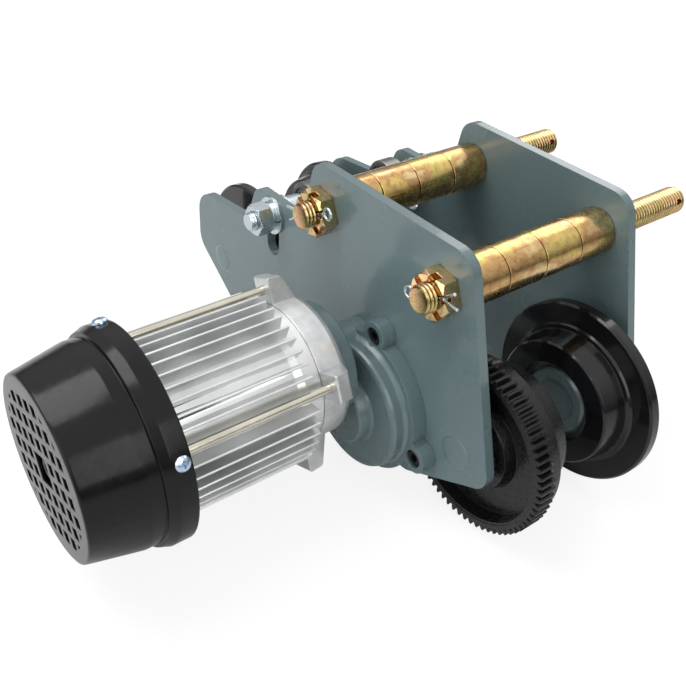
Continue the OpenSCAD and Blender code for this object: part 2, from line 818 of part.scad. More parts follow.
// die cast drive end shield with four square lugs for the tie rods and a longer lower lug
module drive_shield() {
    y0 = motor_y;
    y1 = shield_y;
    color([0.74, 0.76, 0.77])
        difference() {
            union() {
                turned(mot_x, mot_z, [[0, y0], [mount_r, y0], [mount_r + 2.6, y0 - 0.6],
                    [shield_r - 2.2, y0 - 2], [shield_r - 0.5, y0 - 3.8], [shield_r, y0 - 6],
                    [shield_r, y1], [0, y1]]);
                for (k = [0:3])
                    shield_lug(lug_angle + 90 * k, k == 3 ? lug_out + foot_extra : lug_out, lug_w);
            }
            turned(mot_x, mot_z, [[0, y1 - 1], [shield_r - 5, y1 - 1], [shield_r - 5, y1 + 5],
                [shield_r - 10, y1 + 11], [motor_seat_r + thin, y1 + 11],
                [motor_seat_r + thin, y0 - 3], [0, y0 - 3]]);
            rod_y(mot_x, mot_z, y0 - 4, y0 + 1, 8);
            for (k = [0:3]) {
                a = lug_angle + 90 * k;
                rod_y(mot_x + rod_pcd_r * cos(a), mot_z + rod_pcd_r * sin(a), y1 - 1, y1 + 5, rod_r + thin);
            }
        }
}

// square lug that slopes down to the rim of the shield towards the gearbox
module shield_lug(a, reach, w) {
    y0 = motor_y;
    y1 = shield_y;
    translate([mot_x, 0, mot_z])
        rotate([0, -a, 0])
            translate([0, 0, -w / 2])
                linear_extrude(height = w)
                    polygon(points = [[shield_r - 4.5, y1], [reach - 0.8, y1], [reach, y1 + 0.8],
                        [reach - 0.8, y1 + 8], [reach - 2, y1 + 9.2], [shield_r - 1.8, y1 + 15.5],
                        [shield_r - 4.5, y1 + 15.5]]);
}

// extruded aluminium body with groups of thin fins that leave room for the tie rods
module finned_body() {
    y0 = rear_y;
    y1 = shield_y;
    c = shield_r - 0.3;
    color([0.78, 0.79, 0.80])
        union() {
            turned(mot_x, mot_z, [[body_bore, y0], [root_r, y0], [root_r, y1 - band_len - fin_slope],
                [c, y1 - band_len], [c, y1 - 0.4], [c - 0.8, y1 - 0.4], [c - 0.8, y1], [body_bore, y1]]);
            for (q = [0:3])
                for (i = [0:fin_count - 1])
                    fin(lug_angle + 45 + 90 * q + (i - (fin_count - 1) / 2) * fin_step);
        }
}

// one fin, thinner towards its tip, that runs out into the ramp at the drive end
module fin(a) {
    y0 = rear_y;
    y1 = shield_y - band_len + 1;
    translate([mot_x, 0, mot_z])
        rotate([0, -a, 0])
            translate([0, y1, 0])
                rotate([90, 0, 0])
                    linear_extrude(height = y1 - y0)
                        polygon(points = [[root_r - 1.5, -fin_w * 0.65], [fin_r - 0.4, -fin_w * 0.4],
                            [fin_r, -fin_w * 0.2], [fin_r, fin_w * 0.2], [fin_r - 0.4, fin_w * 0.4],
                            [root_r - 1.5, fin_w * 0.65]]);
}

// laminated stator with the winding heads at both ends
module stator_core() {
    y0 = rear_y + 8;
    y1 = shield_y - 6;
    r = rotor_r + air_gap;
    color([0.55, 0.42, 0.30])
        turned(mot_x, mot_z, [[r, y0 + 10], [r + 3, y0 + 10], [r + 3, y0], [body_bore - 3, y0],
            [body_bore - 3, y0 + 10], [body_bore - thin, y0 + 10], [body_bore - thin, y1 - 10],
            [body_bore - 3, y1 - 10], [body_bore - 3, y1], [r + 3, y1], [r + 3, y1 - 10], [r, y1 - 10]]);
}

// rear shield with lugs that carry the tie rods and the fan cover
module rear_shield() {
    y1 = rear_y;
    y0 = rear_y - rear_t;
    color([0.70, 0.72, 0.73])
        difference() {
            union() {
                turned(mot_x, mot_z, [[0, y1], [shield_r, y1], [shield_r, y0 + 2], [shield_r - 2, y0],
                    [0, y0]]);
                for (k = [0:3])
                    block_y(mot_x, mot_z, lug_angle + 90 * k, shield_r - 6, rear_lug_out,
                        lug_w - 2, y0, y1 - 1);
            }
            rod_y(mot_x, mot_z, y0 + 2, y1 + 1, motor_seat_r + thin);
            rod_y(mot_x, mot_z, y0 - 1, y1 + 1, 6.4);
            for (k = [0:3]) {
                a = lug_angle + 90 * k;
                rod_y(mot_x + rod_pcd_r * cos(a), mot_z + rod_pcd_r * sin(a), y0 - 1, y1 + 1, rod_r + 0.3);
                translate([mot_x, cover_screw_y, mot_z])
                    rotate([0, 90 - a, 0])
                        translate([0, 0, rod_pcd_r + rod_r + 1])
                            cylinder(h = rear_lug_wall, r = 1.7);
            }
        }
}

// four long screws that clamp the body between the shields
module tie_rods() {
    color([0.80, 0.78, 0.66])
        for (k = [0:3]) {
            a = lug_angle + 90 * k;
            x = mot_x + rod_pcd_r * cos(a);
            z = mot_z + rod_pcd_r * sin(a);
            pin_y(x, z, rear_y - rear_t - 1, shield_y + 4.6, rod_r, 0.4);
            translate([x, rear_y - rear_t, z])
                rotate([90, 0, 0])
                    cylinder(h = 3.2, r = rod_r + 2, $fn = 6);
        }
}

// ball bearings of the motor shaft in both shields
module motor_bearings() {
    b = motor_shaft_r + run;
    ball_bearing(mot_x, mot_z, motor_y - 12, motor_y - 3.2, b, motor_seat_r);
    ball_bearing(mot_x, mot_z, rear_y - rear_t + 2.2, rear_y - rear_t + 11, b, motor_seat_r);
}

// motor shaft with the pinion cut on its gearbox end
module rotor_shaft() {
    p0 = -plate_out;
    stage_turn = motor_angle + 180 + 180 / motor_teeth;
    j = motor_shaft_r;
    color([0.60, 0.61, 0.62]) {
        turned(mot_x, mot_z, [[0, p0 - 4], [4, p0 - 4], [4.4, p0 - 4.4], [4.4, p0 - 15], [j, p0 - 15],
            [j, motor_y - 12.2], [j + 1, motor_y - 12.2], [j + 1, rear_y - rear_t + 11.2],
            [j, rear_y - rear_t + 11.2], [j, rear_y - rear_t - 28], [j - 0.6, rear_y - rear_t - 28.6],
            [0, rear_y - rear_t - 28.6]]);
        translate([mot_x, 0, mot_z])
            rotate([0, -stage_turn, 0])
                flat_y(p0 - 14.5, p0 - 4.4)
                    difference() {
                        polygon(points = gear_points(motor_teeth, stage_m, stage_m, 4));
                        circle(r = 4.2);
                    }
    }
}

// rotor core with its end rings
module rotor_core() {
    b = motor_shaft_r + 1 + thin;
    y0 = rear_y + 18;
    y1 = shield_y - 16;
    color([0.52, 0.53, 0.54])
        turned(mot_x, mot_z, [[b, y0], [rotor_r - 6, y0], [rotor_r - 6, y0 - 5], [rotor_r - 1.5, y0 - 5],
            [rotor_r - 1.5, y0], [rotor_r, y0], [rotor_r, y1], [rotor_r - 1.5, y1], [rotor_r - 1.5, y1 + 5],
            [rotor_r - 6, y1 + 5], [rotor_r - 6, y1], [b, y1]]);
}

// fan with flat radial blades on a hub and back disc
module fan() {
    y1 = rear_y - rear_t - 6;
    color([0.09, 0.09, 0.10])
        difference() {
            union() {
                turned(mot_x, mot_z, [[0, cowl_end + 1.6], [fan_nose_r - 1.2, cowl_end + 1.6],
                    [fan_nose_r, cowl_end + 2.8], [fan_nose_r, y1 - 20], [10.5, y1 - 18], [10.5, y1],
                    [0, y1]]);
                rod_y(mot_x, mot_z, y1 - 2, y1, fan_r);
                for (k = [0:fan_blades - 1])
                    block_y(mot_x, mot_z, 360 * k / fan_blades, 8, fan_r - 1, 1.8, y1 - 18, y1 - 1);
            }
            rod_y(mot_x, mot_z, rear_y - rear_t - 29, y1 + 1, motor_shaft_r + thin);
            translate([mot_x, cowl_end + 1, mot_z])
                rotate([-90, 0, 0])
                    cylinder(h = 4, r = fan_nose_r - 3.4, $fn = 6);
        }
}

// moulded cowl with a stepped side, a sloping nose and a slotted face
module fan_cover() {
    w = cowl_wall;
    y0 = cowl_y;
    y1 = cowl_end;
    step = y0 - 15;
    sh = y0 - 25;
    color([0.06, 0.06, 0.065])
        difference() {
            turned(mot_x, mot_z, [[0, y1], [cowl_face_r - 1.4, y1], [cowl_face_r - 0.4, y1 + 0.4],
                [cowl_face_r, y1 + 1.4], [cowl_shoulder_r, sh], [cowl_step_r, sh + 3], [cowl_step_r, step],
                [cowl_band_r, step + 0.4], [cowl_r, y0 - 9.5], [cowl_r, y0], [cowl_r - w, y0],
                [cowl_r - w, y0 - 9.5], [cowl_band_r - w, step + w + 0.4], [cowl_step_r - w, step + w],
                [cowl_step_r - w, sh + 3], [cowl_shoulder_r - w, sh], [cowl_face_r - w, y1 + 2 * w],
                [cowl_face_r - 2 * w, y1 + w], [0, y1 + w]]);
            intersection() {
                rod_y(mot_x, mot_z, y1 - 2, y1 + w + 2.5, grille_r);
                translate([mot_x, 0, mot_z])
                    rotate([0, -grille_angle, 0])
                        grille_slots(y1 - 1, w + 3);
            }
            for (k = [0:3])
                translate([mot_x, cover_screw_y, mot_z])
                    rotate([0, 90 - lug_angle - 90 * k, 0])
                        translate([0, 0, cowl_r - 8])
                            cylinder(h = 12, r = 2.1);
        }
}

// rows of slots without the corners, with one opening in the middle for the nose of the fan
module grille_slots(y, h) {
    m = (slot_pitch + slot_w) / 2;
    n = (slot_pitch + slot_l) / 2;
    for (i = [0:7])
        for (j = [0:7])
            if (!((i == 0 || i == 7) && (j == 0 || j == 7)) && !((i == 3 || i == 4) && (j == 3 || j == 4)))
                translate([(i - 3.5) * slot_pitch - slot_w / 2, y, (j - 3.5) * slot_pitch - slot_l / 2])
                    cube([slot_w, h, slot_l]);
    translate([-m, y, -n])
        cube([2 * m, h, 2 * n]);
}

// cross head screws that hold the cowl on the rear shield
module cover_screws() {
    color([0.72, 0.78, 0.84])
        for (k = [0:3])
            translate([mot_x, cover_screw_y, mot_z])
                rotate([0, 90 - lug_angle - 90 * k, 0])
                    difference() {
                        union() {
                            translate([0, 0, rod_pcd_r + rod_r + 1.5])
                                cylinder(h = cowl_r - rod_pcd_r - rod_r - 1, r = 1.66);
                            translate([0, 0, cowl_r + 0.05])
                                rotate_extrude()
                                    polygon(points = [[0, 0], [4, 0], [4, 1.2], [3.2, 2.2],
                                        [1.8, 2.7], [0, 2.8]]);
                        }
                        translate([0, 0, cowl_r + 2.6])
                            cube([4.2, 0.9, 2.6], center = true);
                        translate([0, 0, cowl_r + 2.6])
                            cube([0.9, 4.2, 2.6], center = true);
                    }
}

// shouldered stud that carries an anti tilt roller, from inside the plate
module roller_stud(side) {
    x = -roller_x;
    z = roller_rise;
    a = roller_in;
    b = roller_in + roller_w;
    color([0.74, 0.76, 0.77])
        turned(x, z, [
            for (p = [[0, a - 2.4], [stud_r + 0.8, a - 2.4], [stud_r + 1.6, a - 1.8],
                [stud_r + 1.6, a - 0.2], [stud_r, a - 0.2], [stud_r, b + 0.2],
                [sleeve_r, b + 0.2], [sleeve_r, gap_half - 3],
                [washer_r - 1, gap_half - 3], [washer_r - 1, gap_half - 0.1], [stud_r, gap_half - 0.1],
                [stud_r, plate_out + 18], [stud_r - 1, plate_out + 19], [0, plate_out + 19]])
                [p[0], side * p[1]]
        ]);
}

// flat washer, spring washer and hexagon nut on the outside of a plate
module roller_nut(side) {
    x = -roller_x;
    z = roller_rise;
    e = plate_out + 0.1;
    rc = stud_nut_flats / sqrt(3);
    rf = stud_nut_flats / 2;
    color([0.76, 0.78, 0.79])
        difference() {
            union() {
                turned(x, z, [
                    for (p = [[stud_r + thin, e], [washer_r, e], [washer_r, e + 2.2],
                        [stud_r + thin, e + 2.2]])
                        [p[0], side * p[1]]
                ]);
                difference() {
                    turned(x, z, [
                        for (p = [[stud_r + thin, e + 2.2], [rf + 0.2, e + 2.2], [rf + 0.2, e + 5],
                            [stud_r + thin, e + 5]])
                            [p[0], side * p[1]]
                    ]);
                    translate([x + rf, side * (e + 3.6), z])
                        rotate([side * 25, 0, 0])
                            cube([rf * 1.4, 6, 0.8], center = true);
                }
                intersection() {
                    translate([x, side > 0 ? e + 5 : -e - 15, z])
                        rotate([-90, 0, 0])
                            cylinder(h = 10, r = rc, $fn = 6);
                    turned(x, z, [
                        for (p = [[0, e + 5], [rf + 0.2, e + 5], [rc + 0.2, e + 6.1],
                            [rc + 0.2, e + 13.9], [rf + 0.2, e + 15], [0, e + 15]])
                            [p[0], side * p[1]]
                    ]);
                }
            }
            rod_y(x, z, side > 0 ? e - 1 : -e - 16, side > 0 ? e + 16 : -e + 1, stud_r + thin);
        }
}

// steel roller with a recessed bearing face
module roller(side) {
    a = roller_in;
    b = roller_in + roller_w;
    color([0.45, 0.45, 0.41])
        turned(-roller_x, roller_rise, [
            for (p = [[stud_r + run, a], [stud_r + 3, a], [stud_r + 3, a + 0.9], [roller_r - 3.4, a + 0.9],
                [roller_r - 3.4, a], [roller_r - 0.8, a], [roller_r, a + 0.8], [roller_r, b - 0.8],
                [roller_r - 0.8, b], [roller_r - 3.4, b], [roller_r - 3.4, b - 0.9], [stud_r + 3, b - 0.9],
                [stud_r + 3, b], [stud_r + run, b]])
                [p[0], side * p[1]]
        ]);
}

module roller_stud_near() {
    roller_stud(-1);
}

module roller_nut_near() {
    roller_nut(-1);
}

module roller_near() {
    roller(-1);
}

module roller_stud_far() {
    roller_stud(1);
}

module roller_nut_far() {
    roller_nut(1);
}

module roller_far() {
    roller(1);
}

plate_drive();
plate_idle();
suspension_bolt_left();
suspension_bolt_right();
spacer_left_a();
spacer_left_b();
spacer_left_c();
spacer_left_d();
spacer_right_a();
spacer_right_b();
spacer_right_c();
spacer_right_d();
nut_left_near();
nut_right_near();
nut_left_far();
nut_right_far();
cotter_left();
cotter_right();
axle_geared();
axle_near();
axle_far_right();
axle_far_left();
wheel_geared();
wheel_near();
wheel_far_right();
wheel_far_left();
bearing_geared();
bearing_near();
bearing_far_right();
bearing_far_left();
cap_geared();
cap_near();
cap_far_right();
cap_far_left();
gearbox_housing();
gearbox_screws();
output_bearings();
output_shaft();
reduction_gear();
drive_shield();
finned_body();
stator_core();
rear_shield();
tie_rods();
motor_bearings();
rotor_shaft();
rotor_core();
fan();
fan_cover();
cover_screws();
roller_stud_near();
roller_nut_near();
roller_near();
roller_stud_far();
roller_nut_far();
roller_far();
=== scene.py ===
import math

import bpy
from mathutils import Matrix, Vector


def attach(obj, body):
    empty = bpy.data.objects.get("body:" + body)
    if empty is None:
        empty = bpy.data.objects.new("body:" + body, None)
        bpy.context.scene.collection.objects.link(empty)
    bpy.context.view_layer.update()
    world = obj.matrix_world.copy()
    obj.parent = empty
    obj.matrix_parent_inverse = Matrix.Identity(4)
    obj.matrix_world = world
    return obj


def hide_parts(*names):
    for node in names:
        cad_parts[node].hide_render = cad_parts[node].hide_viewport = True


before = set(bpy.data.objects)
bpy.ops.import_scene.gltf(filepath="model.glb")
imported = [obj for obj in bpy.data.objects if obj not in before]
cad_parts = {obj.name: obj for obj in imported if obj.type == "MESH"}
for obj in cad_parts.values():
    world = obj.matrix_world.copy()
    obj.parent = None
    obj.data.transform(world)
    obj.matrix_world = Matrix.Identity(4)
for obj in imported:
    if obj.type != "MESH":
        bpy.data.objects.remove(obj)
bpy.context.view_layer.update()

MM = 0.001

# main sizes of the solids, in millimetres
PLATE_OUT = 62.0
WHEEL_X = 122.5
SPACER_LEN = 28.0
BOLT_X = {"left": -5.0, "right": 97.0}
BOLT_Z = 91.5
BOLT_NEAR_END = -79.0
BOLT_FAR_END = 131.0
BOLT_BARE = 60.5
BOLT_R = 8.0
COTTER_R = 2.0
ROLLER_X = -57.0
ROLLER_Z = 64.5
STUD_R = 6.0
FLOOR_Z = -57.5

# camera in degrees, metres and millimetres
CAMERA_AZ = 50.74
CAMERA_EL = 36.19
CAMERA_ROLL = 3.56
CAMERA_AT = (0.3568, -0.3372, 0.3298)
LENS = 46.27

# floor: its albedo for light and for the camera, and its glow near the object and far away
FLOOR_ALBEDO = 0.80
SHADOW_ALBEDO = 0.22
GLOW_NEAR = 0.83
GLOW_FAR = 1.0

# room: strength for diffuse light, and for reflections at the horizon and overhead
AMBIENT = 0.46
HORIZON = 0.05
OVERHEAD = 1.15


# ---------------------------------------------------------------- materials
def tree(name):
    m = bpy.data.materials.new(name)
    m.use_nodes = True
    t = m.node_tree
    t.nodes.clear()
    out = t.nodes.new("ShaderNodeOutputMaterial")
    b = t.nodes.new("ShaderNodeBsdfPrincipled")
    t.links.new(b.outputs[0], out.inputs[0])
    return m, t, b


def noise(t, scale, detail=3.0, rough=0.5, stretch=None):
    coords = t.nodes.new("ShaderNodeTexCoord").outputs["Object"]
    if stretch is not None:
        mp = t.nodes.new("ShaderNodeMapping")
        mp.inputs["Scale"].default_value = stretch
        t.links.new(coords, mp.inputs["Vector"])
        coords = mp.outputs["Vector"]
    n = t.nodes.new("ShaderNodeTexNoise")
    n.inputs["Scale"].default_value = scale
    n.inputs["Detail"].default_value = detail
    n.inputs["Roughness"].default_value = rough
    t.links.new(coords, n.inputs["Vector"])
    return n.outputs["Fac"]


def ramp(t, fac, stops):
    r = t.nodes.new("ShaderNodeValToRGB")
    e = r.color_ramp.elements
    while len(e) < len(stops):
        e.new(0.5)
    for k, (p, c) in enumerate(stops):
        e[k].position = p
        e[k].color = (c[0], c[1], c[2], 1.0)
    t.links.new(fac, r.inputs["Fac"])
    return r.outputs["Color"]


def span(t, fac, a, b, lo, hi):
    m = t.nodes.new("ShaderNodeMapRange")
    m.inputs["From Min"].default_value = a
    m.inputs["From Max"].default_value = b
    m.inputs["To Min"].default_value = lo
    m.inputs["To Max"].default_value = hi
    t.links.new(fac, m.inputs["Value"])
    return m.outputs["Result"]


def bumps(t, b, layers, bevel):
    """Stacks bump layers (height socket, strength, distance in metres) over edges rounded by bevel."""
    bv = t.nodes.new("ShaderNodeBevel")
    bv.samples = 6
    bv.inputs["Radius"].default_value = bevel
    last = bv.outputs["Normal"]
    for h, strength, dist in layers:
        bp = t.nodes.new("ShaderNodeBump")
        bp.inputs["Strength"].default_value = strength
        bp.inputs["Distance"].default_value = dist
        t.links.new(h, bp.inputs["Height"])
        t.links.new(last, bp.inputs["Normal"])
        last = bp.outputs["Normal"]
    t.links.new(last, b.inputs["Normal"])


def multiply(t, a, c):
    x = t.nodes.new("ShaderNodeMix")
    x.data_type = "RGBA"
    x.blend_type = "MULTIPLY"
    x.inputs["Factor"].default_value = 1.0
    t.links.new(a, x.inputs[6])
    t.links.new(c, x.inputs[7])
    return x.outputs[2]


def tint(c, k):
    return tuple(min(1.0, v * k) for v in c)


def enamel(name, base, rough=0.26, bevel=0.0007, orange=0.05):
    m, t, b = tree(name)
    big = noise(t, 22.0, 2.0)
    t.links.new(ramp(t, big, [(0.3, tint(base, 0.96)), (0.7, tint(base, 1.04))]), b.inputs["Base Color"])
    fine = noise(t, 60.0, 2.0)
    t.links.new(span(t, fine, 0.3, 0.7, rough - 0.02, rough + 0.02), b.inputs["Roughness"])
    b.inputs["Coat Weight"].default_value = 0.35
    b.inputs["Coat Roughness"].default_value = 0.06
    peel = noise(t, 900.0, 1.0)
    bumps(t, b, [(peel, orange * 0.4, 0.0001)], bevel)
    return m


def zinc_yellow(name, stops, rough, scale, bevel=0.0004, bands=None, joints=0.0, grooves=False):
    """Iridescent zinc, with dark lines every joints millimetres along Y, or with painted shade in the
    grooves of a thread.
    """
    m, t, b = tree(name)
    n = noise(t, scale, 3.0, 0.6, stretch=bands)
    col = ramp(t, n, stops)
    pits = ramp(t, noise(t, scale * 7.0, 4.0, 0.7), [(0.50, (1, 1, 1)), (0.66, (0.78, 0.70, 0.60))])
    col = multiply(t, col, pits)
    if joints:
        # dark lines at the narrow joints between neighbouring tubes
        sep = t.nodes.new("ShaderNodeSeparateXYZ")
        t.links.new(t.nodes.new("ShaderNodeTexCoord").outputs["Object"], sep.inputs[0])
        w = t.nodes.new("ShaderNodeMath")
        w.operation = "PINGPONG"
        w.inputs[1].default_value = joints * MM / 2
        t.links.new(sep.outputs["Y"], w.inputs[0])
        near = span(t, w.outputs[0], 0.0, 0.003, 0.0, 1.0)
        col = multiply(t, col, ramp(t, near, [(0.06, (0.08, 0.05, 0.03)), (0.17, (1, 1, 1))]))
    if grooves:
        # painted shade at the bottom of the thread, darker where the groove is deeper
        at = t.nodes.new("ShaderNodeAttribute")
        at.attribute_name = "groove"
        painted_groove_shade = ramp(t, at.outputs["Fac"], [(0.25, (1, 1, 1)), (0.95, (0.10, 0.07, 0.04))])
        col = multiply(t, col, painted_groove_shade)
    t.links.new(col, b.inputs["Base Color"])
    b.inputs["Metallic"].default_value = 1.0
    f = noise(t, 700.0, 3.0)
    t.links.new(span(t, f, 0.3, 0.7, rough - 0.06, rough + 0.10), b.inputs["Roughness"])
    g = noise(t, 1400.0, 2.0)
    bumps(t, b, [(g, 0.04, 0.0002)], bevel)
    return m


def metal(name, base, rough=0.3, bevel=0.0004, grain=None, grain_strength=0.1, spread=0.06, metallic=1.0):
    m, t, b = tree(name)
    n = noise(t, 45.0, 3.0)
    t.links.new(ramp(t, n, [(0.3, tint(base, 0.88)), (0.7, tint(base, 1.08))]), b.inputs["Base Color"])
    b.inputs["Metallic"].default_value = metallic
    f = noise(t, 350.0, 4.0, stretch=grain)
    t.links.new(span(t, f, 0.3, 0.7, rough - spread, rough + spread), b.inputs["Roughness"])
    bumps(t, b, [(f, grain_strength, 0.0002)], bevel)
    return m


def cast(name, base, rough, metallic, grit, strength, dist, bevel=0.0008, coat=0.0, spec=0.5):
    m, t, b = tree(name)
    n = noise(t, 70.0, 4.0, 0.6)
    t.links.new(ramp(t, n, [(0.3, tint(base, 0.8)), (0.7, tint(base, 1.2))]), b.inputs["Base Color"])
    b.inputs["Metallic"].default_value = metallic
    f = noise(t, grit, 4.0, 0.62)
    t.links.new(span(t, f, 0.3, 0.7, rough - 0.05, rough + 0.08), b.inputs["Roughness"])
    b.inputs["Coat Weight"].default_value = coat
    b.inputs["Coat Roughness"].default_value = 0.06
    b.inputs["Specular IOR Level"].default_value = spec
    g = noise(t, grit * 3.1, 2.0)
    bumps(t, b, [(f, strength, dist), (g, strength * 0.5, dist * 0.4)], bevel)
    return m


M = {
    "enamel": enamel("grey_enamel", (0.118, 0.172, 0.180)),
    "enamel_cast": enamel("grey_enamel_on_casting", (0.106, 0.156, 0.164), rough=0.28, bevel=0.0011,
                          orange=0.10),
    "enamel_cap": enamel("grey_enamel_cap", (0.104, 0.142, 0.149), rough=0.26, bevel=0.0008, orange=0.10),
    "spacer": zinc_yellow("yellow_zinc_tube", [(0.30, (0.36, 0.40, 0.13)), (0.42, (0.70, 0.52, 0.18)),
                                               (0.51, (0.52, 0.30, 0.14)), (0.59, (0.76, 0.60, 0.30)),
                                               (0.72, (0.50, 0.22, 0.16))],
                          rough=0.21, scale=42.0, bands=(1.0, 0.6, 1.0), joints=SPACER_LEN),
    "bolt": zinc_yellow("yellow_zinc_bolt", [(0.30, (0.58, 0.38, 0.17)), (0.42, (0.56, 0.46, 0.20)),
                                             (0.56, (0.76, 0.50, 0.26)), (0.72, (0.64, 0.34, 0.22))],
                        rough=0.24, scale=80.0, grooves=True),
    "nut": zinc_yellow("yellow_zinc_nut", [(0.30, (0.54, 0.37, 0.16)), (0.42, (0.57, 0.46, 0.21)),
                                           (0.56, (0.80, 0.54, 0.28)), (0.70, (0.60, 0.32, 0.20))],
                       rough=0.18, scale=62.0, bevel=0.0005),
    "bright": metal("bright_zinc", (0.57, 0.64, 0.67), rough=0.24, grain_strength=0.02),
    "blue": metal("bluish_zinc", (0.50, 0.62, 0.76), rough=0.22, bevel=0.0002),
    "pale": metal("pale_zinc_rod", (0.60, 0.57, 0.48), rough=0.20, grain_strength=0.03, bevel=0.0003),
    "steel": metal("bare_steel", (0.42, 0.42, 0.41), rough=0.34),
    "dark_steel": metal("dark_steel", (0.20, 0.20, 0.19), rough=0.38),
    "oxide": metal("black_oxide", (0.020, 0.020, 0.022), rough=0.36, metallic=0.6),
    "wheel": cast("black_enamel_wheel", (0.006, 0.006, 0.007), rough=0.14, metallic=0.0, grit=260.0,
                  strength=0.10, dist=0.0004, coat=0.35, spec=0.25),
    "gear": cast("black_enamel_cast_gear", (0.008, 0.008, 0.009), rough=0.24, metallic=0.0, grit=300.0,
                 strength=0.4, dist=0.0010, coat=0.25, spec=0.25),
    "shield": cast("dull_cast_aluminium", (0.66, 0.675, 0.675), rough=0.34, metallic=0.85, grit=500.0,
                   strength=0.05, dist=0.0002),
    "body": metal("extruded_aluminium", (0.76, 0.77, 0.77), rough=0.30, grain=(1.0, 0.10, 1.0),
                  grain_strength=0.0, spread=0.02, bevel=0.0003, metallic=0.85),
    "winding": metal("varnished_winding", (0.30, 0.15, 0.07), rough=0.4),
    "cover": cast("black_moulded_plastic", (0.005, 0.005, 0.006), rough=0.15, metallic=0.0, grit=300.0,
                  strength=0.02, dist=0.0001, bevel=0.0010, spec=0.24),
    "fan": cast("black_fan_plastic", (0.035, 0.035, 0.037), rough=0.40, metallic=0.0, grit=900.0,
                strength=0.06, dist=0.0002),
}

# the nodes of the solids that wear each material, by the start of their names
WEARS = {
    "enamel": ("plate_",),
    "enamel_cast": ("gearbox_housing",),
    "enamel_cap": ("cap_",),
    "spacer": ("spacer_",),
    "bolt": ("suspension_bolt",),
    "nut": ("nut_",),
    "bright": ("cotter_", "roller_stud_", "roller_nut_"),
    "blue": ("cover_screws",),
    "pale": ("tie_rods",),
    "steel": ("output_", "reduction_gear", "motor_bearings", "rotor_", "axle_", "bearing_"),
    "dark_steel": ("roller_near", "roller_far"),
    "oxide": ("gearbox_screws",),
    "wheel": ("wheel_near", "wheel_far_"),
    "gear": ("wheel_geared",),
    "shield": ("drive_shield", "rear_shield"),
    "body": ("finned_body",),
    "winding": ("stator_core",),
    "cover": ("fan_cover",),
    "fan": ("fan",),
}
for n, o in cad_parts.items():
    k = next(k for k, starts in WEARS.items() if n.startswith(starts))
    o.data.materials.clear()
    o.data.materials.append(M[k])


# ---------------------------------------------------------------- mesh helpers
def make(name, verts, faces, mat, body, smooth):
    me = bpy.data.meshes.new(name)
    me.from_pydata([tuple(v) for v in verts], [], faces)
    me.validate()
    me.update()
    me.materials.append(mat)
    o = bpy.data.objects.new(name, me)
    bpy.context.scene.collection.objects.link(o)
    for p in me.polygons:
        p.use_smooth = True
    me.set_sharp_from_angle(angle=math.radians(smooth))
    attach(o, body)
    return o


def lathe(name, x, z, pts, mat, body, steps=72):
    """Turned shape around an axis along Y at (x, z), from points of radius and Y in millimetres."""
    verts, faces, rings = [], [], []
    for r, y in pts:
        if r < 1e-6:
            rings.append([len(verts)])
            verts.append((x * MM, y * MM, z * MM))
        else:
            ring = []
            for i in range(steps):
                a = 2 * math.pi * i / steps
                ring.append(len(verts))
                verts.append(((x + r * math.cos(a)) * MM, y * MM, (z + r * math.sin(a)) * MM))
            rings.append(ring)
    for a, b in zip(rings[:-1], rings[1:]):
        for i in range(steps):
            j = (i + 1) % steps
            if len(a) == 1 and len(b) == 1:
                continue
            if len(a) == 1:
                faces.append((a[0], b[j], b[i]))
            elif len(b) == 1:
                faces.append((a[i], a[j], b[0]))
            else:
                faces.append((a[i], a[j], b[j], b[i]))
    return make(name, verts, faces, mat, body, smooth=35.0)


def threaded(name, x, z, parts, mat, body, steps, pitch, depth, c0, c1):
    """Rod along Y made of stretches (y0, y1, radius, cut), where cut stretches carry a helical thread.

    c0 and c1 are the chamfers of its two ends."""
    y_start, y_end = parts[0][0], parts[-1][1]
    rings = []
    for y0, y1, r, cut in parts:
        n = max(2, int((y1 - y0) / pitch * 8)) if cut else 2
        for i in range(n + 1):
            rings.append((y0 + (y1 - y0) * i / n, r, cut))
    verts, faces, depths = [], [], []
    for y, r, cut in rings:
        for i in range(steps):
            a = 2 * math.pi * i / steps
            rr = r
            d = 0.0
            if cut:
                p = (y / pitch - a / (2 * math.pi)) % 1.0
                v = abs(2 * p - 1)
                d = depth * min(1.0, max(0.0, (v - 0.12) / 0.8))
                rr = r - d
            depths.append(d / depth)
            if y - y_start < c0:
                rr = min(rr, r - c0 + y - y_start)
            if y_end - y < c1:
                rr = min(rr, r - c1 + y_end - y)
            verts.append(((x + rr * math.cos(a)) * MM, y * MM, (z + rr * math.sin(a)) * MM))
    m = len(rings)
    for k in range(m - 1):
        for i in range(steps):
            j = (i + 1) % steps
            faces.append((k * steps + i, k * steps + j, (k + 1) * steps + j, (k + 1) * steps + i))
    faces.append(tuple(range(steps - 1, -1, -1)))
    faces.append(tuple((m - 1) * steps + i for i in range(steps)))
    o = make(name, verts, faces, mat, body, smooth=28.0)
    # groove holds the thread depth at each point, from 0 to 1; the bolt material darkens by it as painted
    # shade
    o.data.attributes.new("groove", "FLOAT", "POINT").data.foreach_set("value", depths)
    return o


def bore(o, at, turn, r):
    """Cuts a cross hole through a rod along Y, turned by an angle about the rod."""
    bpy.ops.mesh.primitive_cylinder_add(vertices=32, radius=r * MM, depth=0.04,
                                        location=(at[0] * MM, at[1] * MM, at[2] * MM))
    c = bpy.context.object
    c.rotation_euler = (0.0, math.radians(90.0 - turn), 0.0)
    md = o.modifiers.new("bore", "BOOLEAN")
    md.operation = "DIFFERENCE"
    md.solver = "EXACT"
    md.object = c
    dg = bpy.context.evaluated_depsgraph_get()
    new = bpy.data.meshes.new_from_object(o.evaluated_get(dg))
    o.modifiers.remove(md)
    o.data = new
    bpy.data.objects.remove(c, do_unlink=True)
    for p in new.polygons:
        p.use_smooth = True
    new.set_sharp_from_angle(angle=math.radians(28.0))


